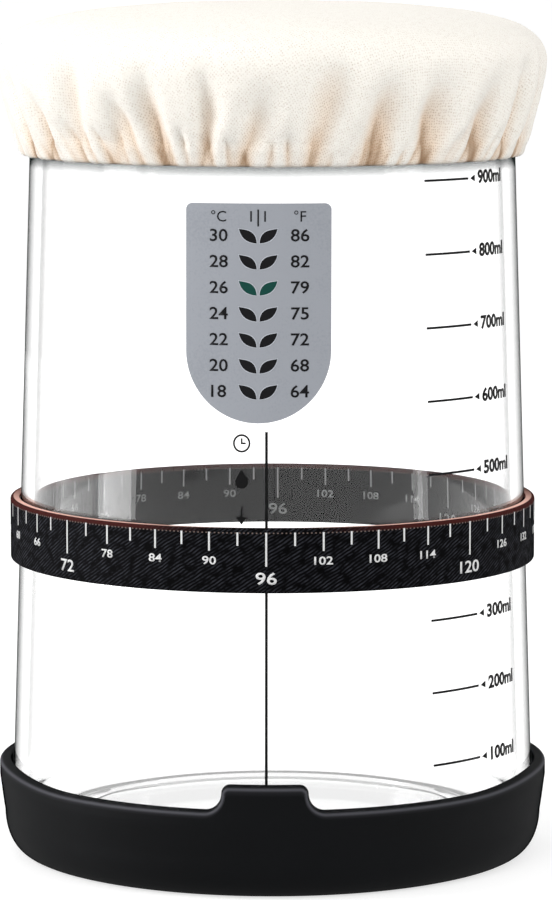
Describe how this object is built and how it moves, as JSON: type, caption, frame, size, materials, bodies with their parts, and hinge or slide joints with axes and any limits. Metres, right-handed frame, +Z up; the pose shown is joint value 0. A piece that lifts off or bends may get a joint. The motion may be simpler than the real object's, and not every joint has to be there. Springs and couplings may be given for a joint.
{
  "type": "sourdough starter jar",
  "caption": "Tapered glass starter jar with a soft boot, a turning day band, a temperature strip, a screw lid with seal and a gathered cloth cover that lifts off.",
  "frame": {"origin": "centre of the bounding box in plan, on the underside of the boot", "axes": "+Z up along the jar's axis, -Y towards the front, where the temperature strip and the boot's tab are"},
  "size_m": [0.1102, 0.1102, 0.1704],
  "materials": {
    "boot_silicone": "matt",
    "clear_glass": "polished",
    "band_silicone": "satin",
    "strip_film": "satin",
    "seal_rubber": "matt",
    "lid_metal": "brushed",
    "cover_cotton": "woven",
    "elastic_braid": "braided"
  },
  "bodies": {
    "boot": {"boot": "boot_silicone"},
    "jar": {"glass_jar": "clear_glass", "temperature_strip": "strip_film"},
    "band": {"day_band": "band_silicone"},
    "seal": {"lid_seal": "seal_rubber"},
    "lid": {"screw_lid": "lid_metal"},
    "cover": {"cover_cloth": "cover_cotton", "cover_elastic": "elastic_braid"}
  },
  "joints": [
    {"name": "jar_lift", "type": "slide", "parent": "boot", "child": "jar", "axis": [0, 0, 1], "range_m": [0, 0.04]},
    {"name": "band_turn", "type": "hinge", "parent": "jar", "child": "band", "pos_m": [0, 0, 0.0653], "axis": [0, 0, 1], "continuous": true},
    {"name": "lid_lift", "type": "slide", "parent": "jar", "child": "seal", "axis": [0, 0, 1], "range_m": [0, 0.1]},
    {"name": "lid_turn", "type": "hinge", "parent": "seal", "child": "lid", "pos_m": [0, 0, 0.16], "axis": [0, 0, 1], "range_deg": [0, 360]},
    {"name": "cover_lift", "type": "slide", "parent": "lid", "child": "cover", "axis": [0, 0, 1], "range_m": [0, 0.06]}
  ]
}
